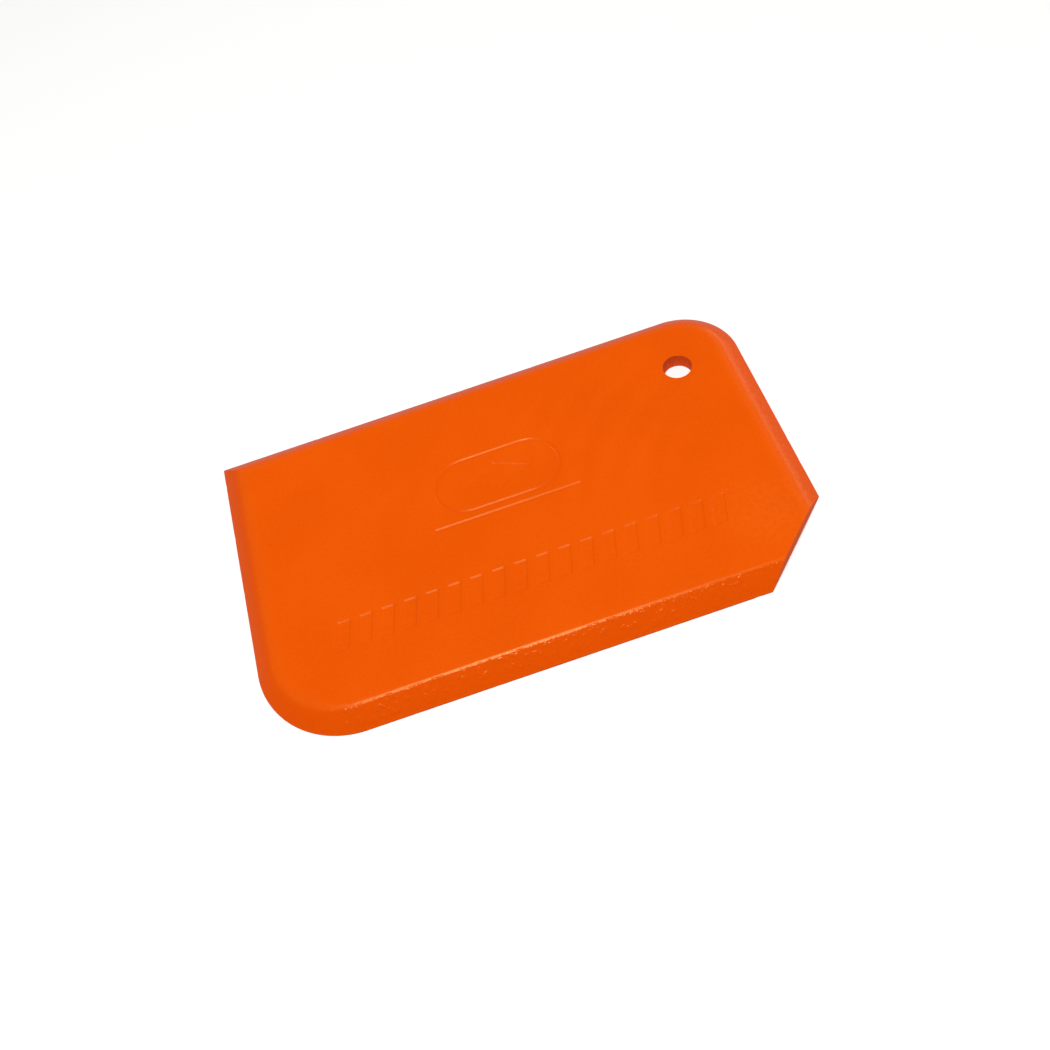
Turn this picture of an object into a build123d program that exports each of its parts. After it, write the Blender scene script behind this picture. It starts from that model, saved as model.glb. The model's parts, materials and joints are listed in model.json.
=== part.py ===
from build123d import *
import os

# A one-piece hand squeegee: a flat card of stiff moulded plastic with a bevelled rim.
# Frame: origin at the middle of the underside, +X along the long edges towards the
# hang hole, +Y towards the far long edge, +Z out of the marked face.

# Driving dimensions, in millimetres
blade_length = 101.6
blade_width = 63.5
blade_thickness = 3.0
far_right_radius = 11.3
near_left_radius = 16.5
cut_leg = 14.5  # length that the straight cut takes off each edge at the near right corner

# Rim: a wide bevel from the top face down to a thin land that stands on the underside
bevel_width = 3.8
edge_land = 0.25
ridge_radius = 0.3  # softens the line where the bevel meets the top face

# Hang hole, beside the rounded far right corner
hole_diameter = 5.4
hole_from_right = 12.8
hole_from_far = 13.9
hole_rim_radius = 0.12

# Marks sunk into the top face, all of one depth; "from near" is counted from the near long edge
mark_depth = 0.12
mark_line = 0.5

# A row of slanted grip bars along the near side
bar_count = 18
bar_pitch = 4.0
bar_width = 2.4
bar_height = 5.6
bar_slant = 1.4  # sideways lean of a bar from its foot to its head
bar_row_x = -0.4
bar_row_from_near = 17.0

# A plain badge: a slot-shaped line round a lozenge, over an underline
badge_x = -0.6
badge_from_near = 39.0
badge_length = 24.0
badge_height = 12.0
lozenge_length = 13.0
lozenge_height = 6.0
underline_length = 27.5
underline_from_near = 31.5

# Derived places
half_length = blade_length / 2
half_width = blade_width / 2
bevel_depth = blade_thickness - edge_land
hole_x = half_length - hole_from_right
hole_y = half_width - hole_from_far
bar_row_y = bar_row_from_near - half_width
badge_y = badge_from_near - half_width
underline_y = underline_from_near - half_width

with BuildSketch() as grip_bar:
    with BuildLine():
        Polyline(
            (-(bar_width + bar_slant) / 2, -bar_height / 2),
            ((bar_width - bar_slant) / 2, -bar_height / 2),
            ((bar_width + bar_slant) / 2, bar_height / 2),
            (-(bar_width - bar_slant) / 2, bar_height / 2),
            close=True,
        )
    make_face()

with BuildSketch() as badge:
    SlotOverall(badge_length, badge_height)
    offset(amount=-mark_line, mode=Mode.SUBTRACT)
    with BuildLine():
        Polyline(
            (-lozenge_length / 2, 0),
            (0, -lozenge_height / 2),
            (lozenge_length / 2, 0),
            (0, lozenge_height / 2),
            close=True,
        )
    make_face()

with BuildPart() as squeegee_blade:
    # Card blank with its two rounded corners
    with BuildSketch():
        Rectangle(blade_length, blade_width)
        far_right = vertices().sort_by_distance((half_length, half_width))[0]
        fillet(far_right, far_right_radius)
        near_left = vertices().sort_by_distance((-half_length, -half_width))[0]
        fillet(near_left, near_left_radius)
    extrude(amount=blade_thickness)

    # Bevelled rim all the way round, with its upper ridge slightly softened
    top_face = faces().sort_by(Axis.Z)[-1]
    chamfer(top_face.edges(), length=bevel_width, length2=bevel_depth, reference=top_face)
    ridge = faces().sort_by(Axis.Z)[-1].edges()
    fillet(ridge, ridge_radius)

    # Straight cut across the near right corner, square to the faces
    with BuildSketch():
        with BuildLine():
            Polyline(
                (half_length, -half_width),
                (half_length, -half_width + cut_leg),
                (half_length - cut_leg, -half_width),
                close=True,
            )
        make_face()
    extrude(amount=blade_thickness, mode=Mode.SUBTRACT)

    # Hang hole with a softened upper rim
    with Locations((hole_x, hole_y, blade_thickness)):
        Hole(radius=hole_diameter / 2)
    hole_edges = edges().filter_by(GeomType.CIRCLE).sort_by_distance((hole_x, hole_y, blade_thickness))
    fillet(hole_edges[0], hole_rim_radius)

    # Sunken marks
    with BuildSketch(Plane.XY.offset(blade_thickness)):
        with Locations((bar_row_x, bar_row_y)):
            with GridLocations(bar_pitch, 0, bar_count, 1):
                add(grip_bar.sketch)
        with Locations((badge_x, badge_y)):
            add(badge.sketch)
        with Locations((badge_x, underline_y)):
            Rectangle(underline_length, mark_line)
    extrude(amount=-mark_depth, mode=Mode.SUBTRACT)

squeegee_blade.part.label = "squeegee_blade"

os.makedirs("parts", exist_ok=True)
export_step(squeegee_blade.part, "parts/squeegee_blade.step")
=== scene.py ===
import json
import math

import bmesh
import bpy
import numpy as np
from mathutils import Matrix, Vector, geometry, kdtree, noise


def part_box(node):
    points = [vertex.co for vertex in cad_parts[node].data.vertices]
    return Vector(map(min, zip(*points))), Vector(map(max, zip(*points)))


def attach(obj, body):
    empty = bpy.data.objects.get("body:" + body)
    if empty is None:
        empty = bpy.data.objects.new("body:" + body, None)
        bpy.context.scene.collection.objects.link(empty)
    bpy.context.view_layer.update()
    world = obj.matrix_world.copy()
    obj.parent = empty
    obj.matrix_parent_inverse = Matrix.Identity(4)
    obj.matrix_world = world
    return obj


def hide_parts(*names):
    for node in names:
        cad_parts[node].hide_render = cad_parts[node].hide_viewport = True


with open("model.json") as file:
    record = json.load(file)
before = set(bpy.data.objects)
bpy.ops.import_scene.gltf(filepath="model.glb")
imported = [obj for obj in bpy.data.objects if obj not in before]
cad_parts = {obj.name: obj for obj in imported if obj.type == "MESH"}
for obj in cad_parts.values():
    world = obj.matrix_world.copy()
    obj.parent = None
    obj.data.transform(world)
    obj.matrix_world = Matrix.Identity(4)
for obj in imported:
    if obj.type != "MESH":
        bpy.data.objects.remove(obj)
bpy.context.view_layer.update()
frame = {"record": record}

# The card is built in millimetres, in the row's frame, and scaled to metres at the end.
MM = 0.001

# Sizes from the frame: the card's box, and its hang hole
BLADE_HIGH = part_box("squeegee_blade")[1] / MM
HANG_HOLE = next(mount for mount in frame["record"]["mounts"] if mount["name"] == "hang_hole")
HALF_LENGTH = BLADE_HIGH.x
HALF_WIDTH = BLADE_HIGH.y
HOLE_CENTRE = Vector(HANG_HOLE["pos_m"]).xy / MM
HOLE_RADIUS = HANG_HOLE["dims"]["r_mm"]
FACE_Z = BLADE_HIGH.z

# Plan and rim of the card, as in the CAD part
NEAR_LEFT_RADIUS = 16.5
FAR_RIGHT_RADIUS = 11.3
FAR_LEFT_RADIUS = 0.3  # the crisp corner, as round as a mould leaves it
CUT_LEG = 14.5
CUT_LINE = HALF_LENGTH + HALF_WIDTH - CUT_LEG  # the straight cut runs along x - y = this
EDGE_LAND = 0.25
BEVEL_WIDTH = 3.8
BEVEL_BLEND = 0.3  # width over which the bevel's finish gives way to the face's, at the ridge
BEVEL_CROWN = 0.12  # the bevel swells a little between its two edges
TOE_REACH = 0.08  # reach of the bend from the underside into the land
BROW_REACH = 0.06  # reach of the bend from the land into the bevel
CRISP_RIDGE = 0.4  # reach of the bend into the top face, along the two long edges
SOFT_RIDGE = 1.4  # the same at the two short edges
SOFT_START = 0.6  # share of the half length at which the ridge starts to soften
HOLE_RIM_RADIUS = 0.12
HOLE_FOOT_REACH = 0.04

# Wear and waviness of the moulding, and a painted highlight along the ridge
DENT_DEPTH = 0.22  # dents in the rim's lower edge
DENT_LEVEL = 0.28  # only noise above this level makes a dent
RIPPLE_DEPTH = 0.012  # finer unevenness of the same edge
WEAR_REACH = 1.1  # how far the wear reaches up from the rim's lower edge
RIDGE_RUB_AND_HIGHLIGHT = 0.45  # reach of the paler line along the ridge, which is partly worn edge and partly painted highlight
LAND_RUB = 0.5  # reach of the paler, worn line along the land's upper edge
FACE_SINK = 0.022  # deepest sinking of the top face, which comes from the moulding's cooling
SINK_DETAIL = 0.06  # hollows and swells of that sinking, per millimetre

# Sunken marks, as in the CAD part
MARK_DEPTH = 0.12
BAR_COUNT = 18
BAR_PITCH = 4.0
BAR_WIDTH = 2.4
BAR_HEIGHT = 5.6
BAR_SLANT = 1.4
BAR_ROW = Vector((-0.4, 17.0 - HALF_WIDTH))
BADGE_CENTRE = Vector((-0.6, 39.0 - HALF_WIDTH))
BADGE_LENGTH = 24.0
BADGE_HEIGHT = 12.0
LOZENGE_LENGTH = 13.0
LOZENGE_HEIGHT = 6.0
UNDERLINE_CENTRE = Vector((-0.6, 31.5 - HALF_WIDTH))
UNDERLINE_LENGTH = 27.5
MARK_LINE = 0.5
MARK_CORNER = 0.24  # plan radius of a mark's corners
MARK_FLANK = 0.32  # width of the soft step down a mark's side

# Mesh fineness. The rim's steps are the same at every inset, so that its loops can be bridged.
NEAR_STEPS = 150
CUT_STEPS = 44
RIGHT_STEPS = 80
FAR_RIGHT_STEPS = 44
FAR_STEPS = 190
FAR_LEFT_STEPS = 5
LEFT_STEPS = 100
NEAR_LEFT_STEPS = 60
BEVEL_STEPS = 10
FLANK_STEPS = 8
HOLE_STEPS = 72
MARK_TURN_STEPS = 5
MARK_RUN_SPACING = 0.7
TOUCHING = 1e-4  # corner centres nearer than this share one round end
SMALLEST_CORNER = 0.02  # the far left corner keeps this radius where the inset is larger than its own
OUTLINE_CLEARANCE = 0.55  # share of a fill's spacing that its inner points keep from its outlines
TOP_SPACING = 1.3
BADGE_SPACING = 1.0
MARK_SPACING = 0.8
UNDERSIDE_SPACING = 2.2
INNER_TRIANGLES = 1  # the triangulation's output type that leaves out what lies outside
SAME_POINT = 1e-5  # the triangulation takes points nearer than this as one
SHARP_ANGLE = math.radians(32)

# Colours of the plastic
DEEP_ORANGE = (0.765, 0.085, 0.0002, 1.0)
LIGHT_ORANGE = (0.82, 0.096, 0.0004, 1.0)
BEVEL_ORANGE = (0.76, 0.077, 0.0002, 1.0)
# the paler orange of worn edges and of the painted highlights
PALE_ORANGE = (0.86, 0.13, 0.008, 1.0)

# Flow marks: arcs in the face, all round one centre, that fade out away from their middle
FLOW_CENTRE = (48.0, -16.0, FACE_Z)
FLOW_MIDDLE = (21.0, 9.0, FACE_Z)
FLOW_SPACING = 6.0
FLOW_WANDER = 5.0

# A painted highlight: the paler patch of the face beside the cut corner
HIGHLIGHT_PATCH_MIDDLE = (41.0, -18.0, FACE_Z)

# Relief of the surface, and where it changes between the near bevel and the other ones
SKIN_RELIEF = 0.006
GRAIN_RELIEF = 0.03
PIMPLE_RELIEF = 0.065
FLOW_RELIEF = 0.004
FINE_BEVEL = 0.35  # relief of the other bevels, as a share of the near one's
COARSE_END = 6.0 - HALF_WIDTH
FINE_START = 14.0 - HALF_WIDTH

# Gloss of the plastic
PLASTIC_IOR = 1.25
PLASTIC_TINT = (1.0, 0.95, 0.4, 1.0)

# The floor is white, but the card's gloss mirrors it as mid grey, as in the photograph
FLOOR_WHITE = (0.98, 0.98, 0.98, 1.0)
FLOOR_MIRRORED = (0.3, 0.3, 0.3, 1.0)
FLOOR_HALF = 3.0  # metres
FLOOR_GAP = 0.05  # the floor lies just under the card

# Light
WHITE = (1.0, 1.0, 1.0)
WARM_WHITE = (1.0, 0.97, 0.75)
WORLD_STRENGTH = 0.16


# ---------------------------------------------------------------- plan curves

def straight(start, end, steps):
    """Evenly spaced points from start up to, but not including, end."""
    start, end = Vector(start), Vector(end)
    return [start.lerp(end, k / steps) for k in range(steps)]


def arc(centre, radius, start_deg, end_deg, steps):
    """Points of an arc, without its last one."""
    angles = [math.radians(start_deg + (end_deg - start_deg) * k / steps) for k in range(steps)]
    return [Vector(centre) + radius * Vector((math.cos(a), math.sin(a))) for a in angles]


def rim_loop(inset):
    """The card's outline taken in by inset, counter-clockwise. The cut stays in its plane."""
    left, right = inset - HALF_LENGTH, HALF_LENGTH - inset
    near, far = inset - HALF_WIDTH, HALF_WIDTH - inset
    cut_near = (CUT_LINE + near, near)
    cut_far = (right, right - CUT_LINE)
    corner = max(FAR_LEFT_RADIUS - inset, SMALLEST_CORNER)
    near_left = Vector((NEAR_LEFT_RADIUS - HALF_LENGTH, NEAR_LEFT_RADIUS - HALF_WIDTH))
    far_right = Vector((HALF_LENGTH - FAR_RIGHT_RADIUS, HALF_WIDTH - FAR_RIGHT_RADIUS))
    return (
        straight((near_left.x, near), cut_near, NEAR_STEPS)
        + straight(cut_near, cut_far, CUT_STEPS)
        + straight(cut_far, (right, far_right.y), RIGHT_STEPS)
        + arc(far_right, FAR_RIGHT_RADIUS - inset, 0, 90, FAR_RIGHT_STEPS)
        + straight((far_right.x, far), (left + corner, far), FAR_STEPS)
        + arc((left + corner, far - corner), corner, 90, 180, FAR_LEFT_STEPS)
        + straight((left, far - corner), (left, near_left.y), LEFT_STEPS)
        + arc(near_left, NEAR_LEFT_RADIUS - inset, 180, 270, NEAR_LEFT_STEPS)
    )


def rounded_loop(corners, radius, inset):
    """A convex outline with rounded corners, taken in by inset, counter-clockwise."""
    count = len(corners)
    runs = [(corners[(k + 1) % count] - corners[k]).normalized() for k in range(count)]
    centres, starts, ends = [], [], []
    for k in range(count):
        out_before = Vector((runs[k - 1].y, -runs[k - 1].x))
        out_after = Vector((runs[k].y, -runs[k].x))
        alike = out_before.dot(out_after)
        centres.append(corners[k] - (out_before + out_after) * radius / (1 + alike))
        starts.append(math.atan2(out_before.y, out_before.x))
        ends.append(starts[-1] + math.atan2(out_before.cross(out_after), alike))
    points = []
    for k in range(count):
        start_deg, end_deg = math.degrees(starts[k]), math.degrees(ends[k])
        points += arc(centres[k], radius - inset, start_deg, end_deg, MARK_TURN_STEPS)
        after = (k + 1) % count
        length = (centres[after] - centres[k]).length
        if length > TOUCHING:
            shift = Vector((math.cos(ends[k]), math.sin(ends[k]))) * (radius - inset)
            steps = max(1, round(length / MARK_RUN_SPACING))
            points += straight(centres[k] + shift, centres[after] + shift, steps)
    return points


def box_corners(centre, length, height, slant=0.0):
    """Corners of a box, or of a slanted bar whose head leans sideways by slant."""
    half, rise, lean = length / 2, height / 2, slant / 2
    plan = ((-half - lean, -rise), (half - lean, -rise), (half + lean, rise), (-half + lean, rise))
    return [centre + Vector(point) for point in plan]


def smooth(t):
    """Smooth step from 0 to 1 while t goes from 0 to 1."""
    t = min(1.0, max(0.0, t))
    return t * t * (3 - 2 * t)


# ---------------------------------------------------------------- mesh building

def bend(before, corner, after, reach, steps):
    """Points of a smooth bend that replaces a corner, from reach before it to reach after it."""
    before, corner, after = Vector(before), Vector(corner), Vector(after)
    start = corner + (before - corner).normalized() * reach
    end = corner + (after - corner).normalized() * reach
    shares = [k / steps for k in range(steps + 1)]
    return [start * (1 - t) ** 2 + corner * 2 * t * (1 - t) + end * t ** 2 for t in shares]


def rim_section(ridge_reach):
    """Section of the rim as (inset, height): round the land, up the crowned bevel and over the ridge."""
    underside, toe, brow = (BEVEL_WIDTH, 0), (0, 0), (0, EDGE_LAND)
    ridge, top_face = (BEVEL_WIDTH, FACE_Z), (2 * BEVEL_WIDTH, FACE_Z)
    land = bend(underside, toe, brow, TOE_REACH, steps=4)
    land += bend(toe, brow, ridge, BROW_REACH, steps=4)
    over_ridge = bend(brow, ridge, top_face, ridge_reach, BEVEL_STEPS)
    foot = land[-1]
    bevel = [foot.lerp(over_ridge[0], k / BEVEL_STEPS) for k in range(1, BEVEL_STEPS)] + over_ridge
    outward = Vector((EDGE_LAND - FACE_Z, BEVEL_WIDTH)).normalized()
    for point in bevel:
        across = min(1.0, (point.x - foot.x) / (BEVEL_WIDTH - foot.x))
        point += outward * BEVEL_CROWN * 4 * across * (1 - across)
    return [(point.x, min(point.y, FACE_Z)) for point in land + bevel]


def ridge_softness(distance, point):
    """Softness of the ridge: near 0 along the long edges, and 1 or a little over at the short ones."""
    towards_end = smooth((abs(point.x) / HALF_LENGTH - SOFT_START) / (1 - SOFT_START))
    least = 0.05
    slow = 0.12 * noise.noise(Vector((distance * 0.35, 5.5, 0)))
    quick = 0.06 * noise.noise(Vector((distance, 8.5, 0)))
    return towards_end + max(0.0, least + (slow + quick))


def rim_wear(distance, inset, height):
    """How far the rim is worn in at a place of its section, in millimetres."""
    nearness = max(0.0, 1 - math.hypot(inset, height) / WEAR_REACH)
    dent = noise.noise(Vector((distance * 0.55, 3.1, 0))) - DENT_LEVEL
    ripple = noise.noise(Vector((distance * 2.3, 7.7, height)))
    return nearness ** 2 * (DENT_DEPTH * max(0.0, dent) + RIPPLE_DEPTH * ripple + RIPPLE_DEPTH)


def rubbed_and_highlight(inset, height):
    """How pale a place of the rim's section is: 1 on its two edges. The land's edge is worn paler; the
    ridge is worn paler and also carries a painted highlight.
    """
    ridge = max(0.0, 1 - math.hypot(inset - BEVEL_WIDTH, height - FACE_Z) / RIDGE_RUB_AND_HIGHLIGHT)
    land = max(0.0, 1 - math.hypot(inset, height - EDGE_LAND) / LAND_RUB)
    return ridge + land


def add_loop(bm, points, height):
    return [bm.verts.new((point.x, point.y, height)) for point in points]


def bridge(bm, lower, upper):
    """Quads between two closed loops of the same length."""
    for k in range(len(lower)):
        after = (k + 1) % len(lower)
        bm.faces.new((lower[k], lower[after], upper[after], upper[k]))


def join(bm, loops):
    """A wall through a stack of closed loops of the same length."""
    for lower, upper in zip(loops, loops[1:]):
        bridge(bm, lower, upper)


def even_odd(points, segments):
    """Whether each point lies inside the closed loops that the segments make, holes left out."""
    x, y = points[:, 0, None], points[:, 1, None]
    x0, y0, x1, y1 = segments.T
    crosses = (y0 > y) != (y1 > y)
    rise = np.where(y1 == y0, 1.0, y1 - y0)
    return (crosses & (x < x0 + (y - y0) * (x1 - x0) / rise)).sum(1) % 2 == 1


def fill(bm, loops, spacing):
    """Fills the flat region inside the loops with even triangles. A loop inside another is a hole."""
    verts = [vert for loop in loops for vert in loop]
    edges = []
    for loop in loops:
        first = len(edges)
        edges += [(first + k, first + (k + 1) % len(loop)) for k in range(len(loop))]
    outline = np.array([vert.co.xy[:] for vert in verts])
    segments = np.array([(*outline[start], *outline[end]) for start, end in edges])
    tree = kdtree.KDTree(len(verts))
    for index, point in enumerate(outline):
        tree.insert((point[0], point[1], 0), index)
    tree.balance()
    low, high = outline.min(0), outline.max(0)
    grid = []
    for row in range(int((high[1] - low[1]) / spacing) + 1):
        shift = spacing / 2 * (row % 2)
        for column in range(int((high[0] - low[0]) / spacing) + 1):
            grid.append((low[0] + shift + column * spacing, low[1] + row * spacing))
    grid = np.array(grid)
    for point in grid[even_odd(grid, segments)]:
        if tree.find((point[0], point[1], 0))[2] > spacing * OUTLINE_CLEARANCE:
            verts.append(bm.verts.new((point[0], point[1], verts[0].co.z)))
    plan = [vert.co.xy for vert in verts]
    cut = geometry.delaunay_2d_cdt(plan, edges, [], INNER_TRIANGLES, SAME_POINT)
    made, _, triangles, sources, _, _ = cut
    sums = [sum((made[i] for i in triangle), Vector((0, 0)))[:] for triangle in triangles]
    middles = np.array(sums) / 3
    for triangle, kept in zip(triangles, even_odd(middles, segments)):
        if kept:
            bm.faces.new([verts[sources[i][0]] for i in triangle])


def build_card():
    """The whole moulding as one closed mesh, in metres."""
    bm = bmesh.new()
    bevel = bm.verts.layers.float.new("bevel")
    wear_and_highlight = bm.verts.layers.float.new("wear_and_highlight")

    # Rim, from the underside round the land and up the bevel to the top face
    rim = rim_loop(0)
    steps = [(after - before).length for before, after in zip(rim, rim[1:])]
    along = np.cumsum([0.0] + steps)
    softness = [ridge_softness(distance, point) for distance, point in zip(along, rim)]
    loops = []
    for crisp, soft in zip(rim_section(CRISP_RIDGE), rim_section(SOFT_RIDGE)):
        inset, height = crisp
        plans = rim_loop(inset), rim_loop(soft[0]), rim_loop(inset + 1)  # the last is 1 mm further in
        loop = []
        for distance, share, crisp_point, soft_point, inner_point in zip(along, softness, *plans):
            worn = rim_wear(distance, inset, height)
            point = crisp_point.lerp(soft_point, share).lerp(inner_point, worn)
            vert = bm.verts.new((point.x, point.y, height + (soft[1] - height) * share))
            on_bevel = height > EDGE_LAND
            vert[bevel] = smooth((BEVEL_WIDTH - inset) / BEVEL_BLEND) if on_bevel else 0.0
            # Paleness of the rim: worn edges, and along the ridge a painted highlight too
            vert[wear_and_highlight] = rubbed_and_highlight(inset, height)
            loop.append(vert)
        loops.append(loop)
    join(bm, loops)

    # Hang hole: crisp lower rim, straight wall, soft upper rim
    foot, head = (HOLE_RADIUS, 0), (HOLE_RADIUS, FACE_Z)
    wall = bend((2 * HOLE_RADIUS, 0), foot, head, HOLE_FOOT_REACH, steps=2)
    wall += bend(foot, head, (2 * HOLE_RADIUS, FACE_Z), HOLE_RIM_RADIUS, steps=5)
    hole = []
    for radius, height in wall:
        hole.append(add_loop(bm, arc(HOLE_CENTRE, radius, 0, 360, HOLE_STEPS), height))
    join(bm, hole)

    # Sunken marks: loops down their soft flanks, and flat floors
    flank = []
    for k in range(FLANK_STEPS + 1):
        share = k / FLANK_STEPS
        flank.append((MARK_FLANK * (share - 0.5), FACE_Z - MARK_DEPTH * smooth(share)))

    def flank_loops(corners, radius):
        return [add_loop(bm, rounded_loop(corners, radius, inset), height) for inset, height in flank]

    def solid_mark(corners):
        rings = flank_loops(corners, MARK_CORNER)
        join(bm, rings)
        fill(bm, [rings[-1]], MARK_SPACING)
        return rings[0]

    footprints = []
    for k in range(BAR_COUNT):
        place = BAR_ROW + Vector(((k - (BAR_COUNT - 1) / 2) * BAR_PITCH, 0))
        footprints.append(solid_mark(box_corners(place, BAR_WIDTH, BAR_HEIGHT, BAR_SLANT)))
    footprints.append(solid_mark(box_corners(UNDERLINE_CENTRE, UNDERLINE_LENGTH, MARK_LINE)))
    badge = box_corners(BADGE_CENTRE, BADGE_LENGTH, BADGE_HEIGHT)
    outside = flank_loops(badge, BADGE_HEIGHT / 2)
    inside = []
    for inset, height in flank:
        plan = rounded_loop(badge, BADGE_HEIGHT / 2, MARK_LINE - inset)
        inside.append(add_loop(bm, plan, height))
    join(bm, outside)
    join(bm, inside)
    bridge(bm, outside[-1], inside[-1])
    footprints.append(outside[0])
    half, rise = LOZENGE_LENGTH / 2, LOZENGE_HEIGHT / 2
    tips = (-half, 0), (0, -rise), (half, 0), (0, rise)
    lozenge = solid_mark([BADGE_CENTRE + Vector(tip) for tip in tips])

    # The flat faces
    fill(bm, [loops[-1], hole[-1], *footprints], TOP_SPACING)
    fill(bm, [inside[0], lozenge], BADGE_SPACING)
    fill(bm, [loops[0], hole[0]], UNDERSIDE_SPACING)

    # Very slight, uneven sinking of the top face, which dies out 1 mm below it
    for vert in bm.verts:
        swell = noise.noise(Vector((vert.co.x * SINK_DETAIL, vert.co.y * SINK_DETAIL, 1.3)))
        vert.co.z -= FACE_SINK * (0.5 + 0.5 * swell) * smooth(vert.co.z - FACE_Z + 1)

    bmesh.ops.recalc_face_normals(bm, faces=bm.faces)
    bmesh.ops.scale(bm, vec=(MM, MM, MM), verts=bm.verts)
    mesh = bpy.data.meshes.new("squeegee_card")
    bm.to_mesh(mesh)
    bm.free()
    for polygon in mesh.polygons:
        polygon.use_smooth = True
    mesh.set_sharp_from_angle(angle=SHARP_ANGLE)
    card = bpy.data.objects.new("squeegee_card", mesh)
    bpy.context.scene.collection.objects.link(card)
    return card


# ---------------------------------------------------------------- material

class Nodes:
    """Short helpers for a material's node tree."""

    def __init__(self, material):
        material.use_nodes = True
        self.tree = material.node_tree
        self.tree.nodes.clear()

    def node(self, kind, **settings):
        made = self.tree.nodes.new(kind)
        for name, value in settings.items():
            setattr(made, name, value)
        return made

    def feed(self, socket, value):
        if isinstance(value, bpy.types.NodeSocket):
            self.tree.links.new(value, socket)
        else:
            socket.default_value = value

    def math(self, operation, *values, clamp=False):
        made = self.node("ShaderNodeMath", operation=operation, use_clamp=clamp)
        for socket, value in zip(made.inputs, values):
            self.feed(socket, value)
        return made.outputs[0]

    def vector(self, operation, *values):
        made = self.node("ShaderNodeVectorMath", operation=operation)
        for socket, value in zip(made.inputs, values):
            self.feed(socket, value)
        return made.outputs["Value" if operation == "DISTANCE" else "Vector"]

    def noise(self, place, scale, detail=2.0, roughness=0.5):
        """Noise from 0 to 1. The scale is in features per millimetre."""
        made = self.node("ShaderNodeTexNoise")
        self.feed(made.inputs["Vector"], place)
        made.inputs["Scale"].default_value = scale
        made.inputs["Detail"].default_value = detail
        made.inputs["Roughness"].default_value = roughness
        return made.outputs["Fac"]

    def ramp(self, value, low, high, to_low=0.0, to_high=1.0):
        """Smooth step of a value from one range to another."""
        made = self.node("ShaderNodeMapRange", interpolation_type="SMOOTHSTEP")
        for socket, number in zip(made.inputs, (value, low, high, to_low, to_high)):
            self.feed(socket, number)
        return made.outputs[0]

    def mix(self, factor, first, second):
        made = self.node("ShaderNodeMix", data_type="RGBA")
        self.feed(made.inputs["Factor"], factor)
        self.feed(made.inputs["A"], first)
        self.feed(made.inputs["B"], second)
        return made.outputs["Result"]

    def attribute(self, name):
        return self.node("ShaderNodeAttribute", attribute_name=name).outputs["Fac"]


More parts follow.
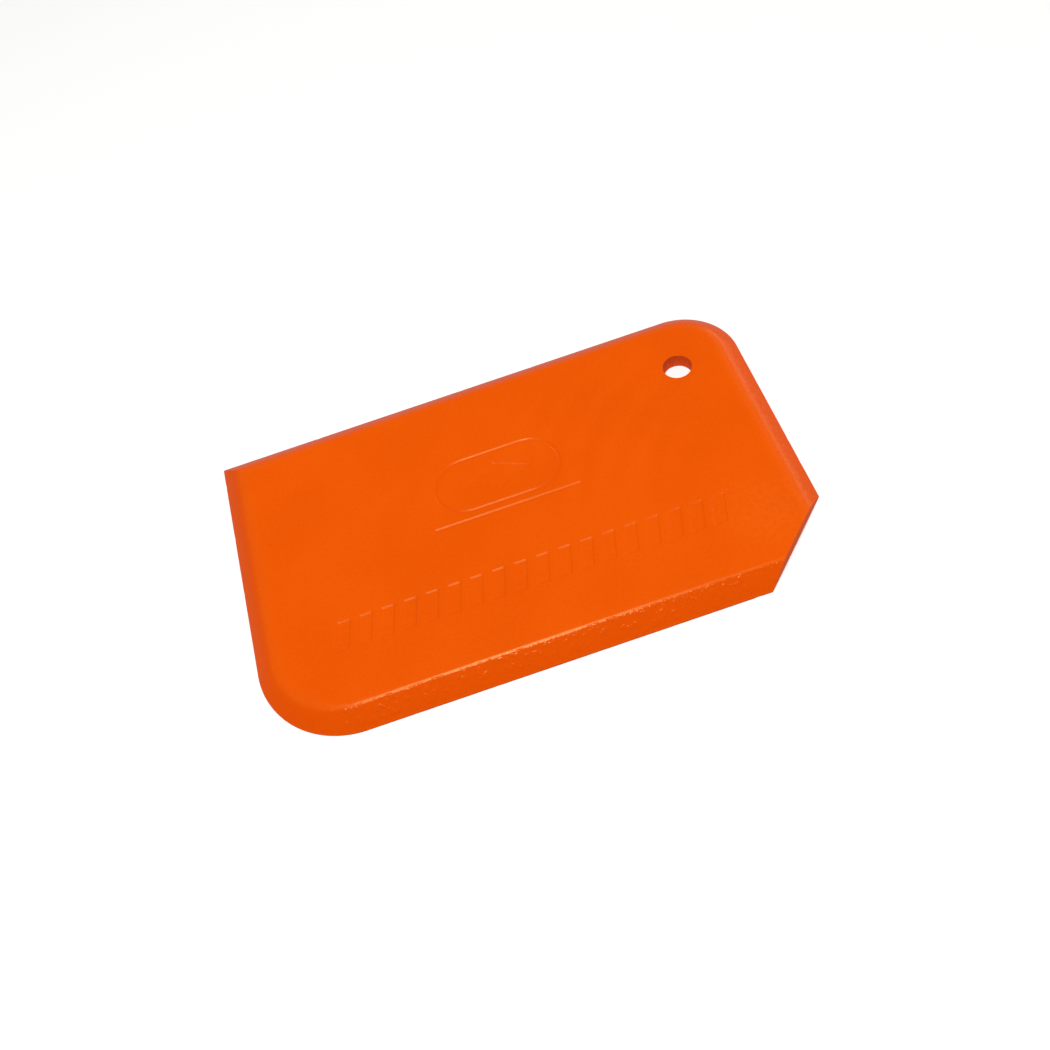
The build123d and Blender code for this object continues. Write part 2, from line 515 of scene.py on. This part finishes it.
def orange_plastic():
    """Moulded orange plastic: a fine skin, flow marks, and a grainier finish on the bevels."""
    material = bpy.data.materials.new("moulded_orange")
    nodes = Nodes(material)
    metres = nodes.node("ShaderNodeTexCoord").outputs["Object"]
    place = nodes.vector("MULTIPLY", metres, (1 / MM,) * 3)
    position = nodes.node("ShaderNodeSeparateXYZ")
    nodes.feed(position.inputs[0], place)
    bevel = nodes.attribute("bevel")
    # paleness of the rim's edges: worn, and a painted highlight along the ridge
    wear_and_highlight = nodes.attribute("wear_and_highlight")

    mottle = nodes.noise(place, scale=0.07, detail=3.0)
    pigment = nodes.noise(place, scale=1.7)
    skin = nodes.noise(place, scale=1.1, detail=4.0, roughness=0.6)
    grain = nodes.noise(place, scale=1.3, detail=3.0, roughness=0.6)
    pimple = nodes.ramp(nodes.noise(place, scale=0.9), 0.45, 0.72)

    # Flow marks: faint arcs, strongest between the badge and the hang hole
    wander = nodes.math("MULTIPLY", nodes.noise(place, scale=0.12), FLOW_WANDER)
    radius = nodes.vector("DISTANCE", place, FLOW_CENTRE)
    phase = nodes.math("MULTIPLY", nodes.math("ADD", radius, wander), 2 * math.pi / FLOW_SPACING)
    reach = nodes.vector("DISTANCE", place, FLOW_MIDDLE)
    fade = nodes.ramp(reach, 8.0, 24.0, 1.0, 0.0)
    flow = nodes.math("MULTIPLY", nodes.math("SINE", phase), fade)

    # Painted highlight: the face is a touch paler beside the cut corner
    highlight_patch = nodes.ramp(nodes.vector("DISTANCE", place, HIGHLIGHT_PATCH_MIDDLE), 2.0, 11.0, 1.0, 0.0)
    highlight_patch = nodes.math("MULTIPLY", highlight_patch, nodes.ramp(skin, 0.35, 0.65, 0.1, 0.3))

    # Walls: the cut, the land and the hole are duller than the faces
    normal = nodes.node("ShaderNodeSeparateXYZ")
    nodes.feed(normal.inputs[0], nodes.node("ShaderNodeNewGeometry").outputs["Normal"])
    wall = nodes.ramp(nodes.math("ABSOLUTE", normal.outputs["Z"]), 0.1, 0.5, 1.0, 0.0)

    # Colour
    broad = nodes.ramp(mottle, 0.3, 0.7, 0.0, 0.6)
    small = nodes.ramp(pigment, 0.3, 0.7, 0.0, 0.4)
    tone = nodes.math("ADD", broad, small)
    tone = nodes.math("ADD", tone, nodes.math("MULTIPLY", flow, 0.12), clamp=True)
    orange = nodes.mix(tone, DEEP_ORANGE, LIGHT_ORANGE)
    orange = nodes.mix(nodes.math("MULTIPLY", bevel, 0.7), orange, BEVEL_ORANGE)
    # Paler where the rim is worn, with a painted highlight along the ridge and a painted highlight patch
    # beside the cut corner
    pale = nodes.math("ADD", nodes.math("MULTIPLY", wear_and_highlight, 0.2), highlight_patch, clamp=True)
    orange = nodes.mix(pale, orange, PALE_ORANGE)

    # Roughness: the bevels are the glossiest, and the walls the dullest
    skin_gloss = nodes.ramp(skin, 0.3, 0.7, 0.24, 0.32)
    bevel_gloss = nodes.ramp(grain, 0.35, 0.65, 0.17, 0.26)
    gloss = nodes.node("ShaderNodeMix", data_type="FLOAT")
    nodes.feed(gloss.inputs["Factor"], bevel)
    nodes.feed(gloss.inputs["A"], skin_gloss)
    nodes.feed(gloss.inputs["B"], bevel_gloss)
    roughness = nodes.math("ADD", gloss.outputs["Result"], nodes.math("MULTIPLY", flow, 0.03))
    roughness = nodes.math("ADD", roughness, nodes.math("MULTIPLY", wall, 0.35))

    # Relief, in millimetres. The near bevel, which does the work, is coarser than the others.
    grainy = nodes.math("MULTIPLY", grain, GRAIN_RELIEF)
    pimpled = nodes.math("MULTIPLY", pimple, PIMPLE_RELIEF)
    bumps = nodes.math("MULTIPLY", nodes.math("ADD", grainy, pimpled), bevel)
    coarse = nodes.ramp(position.outputs["Y"], COARSE_END, FINE_START, 1.0, FINE_BEVEL)
    relief = nodes.math("MULTIPLY", skin, SKIN_RELIEF)
    relief = nodes.math("ADD", relief, nodes.math("MULTIPLY", bumps, coarse))
    relief = nodes.math("ADD", relief, nodes.math("MULTIPLY", flow, FLOW_RELIEF))
    bump = nodes.node("ShaderNodeBump")
    bump.inputs["Strength"].default_value = 1.0
    bump.inputs["Distance"].default_value = MM
    nodes.feed(bump.inputs["Height"], relief)

    shader = nodes.node("ShaderNodeBsdfPrincipled")
    nodes.feed(shader.inputs["Base Color"], orange)
    nodes.feed(shader.inputs["Roughness"], roughness)
    nodes.feed(shader.inputs["Normal"], bump.outputs["Normal"])
    shader.inputs["IOR"].default_value = PLASTIC_IOR
    shader.inputs["Specular Tint"].default_value = PLASTIC_TINT
    output = nodes.node("ShaderNodeOutputMaterial")
    nodes.feed(output.inputs["Surface"], shader.outputs["BSDF"])
    return material


# ---------------------------------------------------------------- studio

def floor():
    mesh = bpy.data.meshes.new("floor")
    half = FLOOR_HALF
    corners = [(-half, -half, 0), (half, -half, 0), (half, half, 0), (-half, half, 0)]
    mesh.from_pydata(corners, [], [(0, 1, 2, 3)])
    plane = bpy.data.objects.new("floor", mesh)
    plane.location.z = -FLOOR_GAP * MM
    bpy.context.scene.collection.objects.link(plane)
    material = bpy.data.materials.new("floor_white")
    nodes = Nodes(material)
    mirrored = nodes.node("ShaderNodeLightPath").outputs["Is Glossy Ray"]
    shader = nodes.node("ShaderNodeBsdfPrincipled")
    nodes.feed(shader.inputs["Base Color"], nodes.mix(mirrored, FLOOR_WHITE, FLOOR_MIRRORED))
    shader.inputs["Roughness"].default_value = 0.9
    shader.inputs["Specular IOR Level"].default_value = 0.0
    output = nodes.node("ShaderNodeOutputMaterial")
    nodes.feed(output.inputs["Surface"], shader.outputs["BSDF"])
    mesh.materials.append(material)


def softbox(name, direction, distance, size, radiance, colour):
    """A rectangular lamp that faces the card. Its radiance is what a mirror would show of it.

    The distance and the size are in metres."""
    lamp = bpy.data.lights.new(name, "AREA")
    lamp.shape = "RECTANGLE"
    lamp.size, lamp.size_y = size
    lamp.energy = radiance * size[0] * size[1] * math.pi
    lamp.color = colour
    made = bpy.data.objects.new(name, lamp)
    made.location = Vector(direction).normalized() * distance
    made.rotation_euler = made.location.to_track_quat("Z", "Y").to_euler()
    made.visible_camera = False
    bpy.context.scene.collection.objects.link(made)


def studio():
    world = bpy.data.worlds.new("studio")
    bpy.context.scene.world = world
    world.use_nodes = True
    background = world.node_tree.nodes["Background"]
    background.inputs["Color"].default_value = (*WHITE, 1.0)
    background.inputs["Strength"].default_value = WORLD_STRENGTH
    above, low_right = (-0.06, -0.12, 1.0), (0.8, 0.4, 0.25)
    softbox("key", above, distance=1.0, size=(0.2, 0.25), radiance=57.0, colour=WHITE)
    softbox("fill", low_right, distance=2.8, size=(3.2, 1.1), radiance=2.0, colour=WARM_WHITE)
    bpy.context.scene.view_settings.view_transform = "Standard"


def camera():
    """The photograph's view: from the near side, high up, tilted so that the card runs up to the right."""
    elevation = math.radians(55.81)
    azimuth = math.radians(-1.56)
    roll = math.radians(-17.44)
    distance = 205.13 * MM
    target = Vector((1.244, -3.086, 0.0)) * MM
    level = math.cos(elevation)
    back = Vector((level * math.sin(azimuth), -level * math.cos(azimuth), math.sin(elevation)))
    right = (-back).cross(Vector((0, 0, 1))).normalized()
    up = right.cross(-back)
    turned_right = math.cos(roll) * right + math.sin(roll) * up
    turned_up = -math.sin(roll) * right + math.cos(roll) * up
    data = bpy.data.cameras.new("camera")
    data.sensor_width = 36.0
    data.lens = 39.27
    data.clip_start = 0.005
    made = bpy.data.objects.new("camera", data)
    axes = Matrix((turned_right, turned_up, back)).transposed()
    made.matrix_world = Matrix.Translation(target + back * distance) @ axes.to_4x4()
    bpy.context.scene.collection.objects.link(made)
    bpy.context.scene.camera = made


# ---------------------------------------------------------------- scene

card = build_card()
card.data.materials.append(orange_plastic())
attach(card, "root")
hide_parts("squeegee_blade")
floor()
studio()
camera()
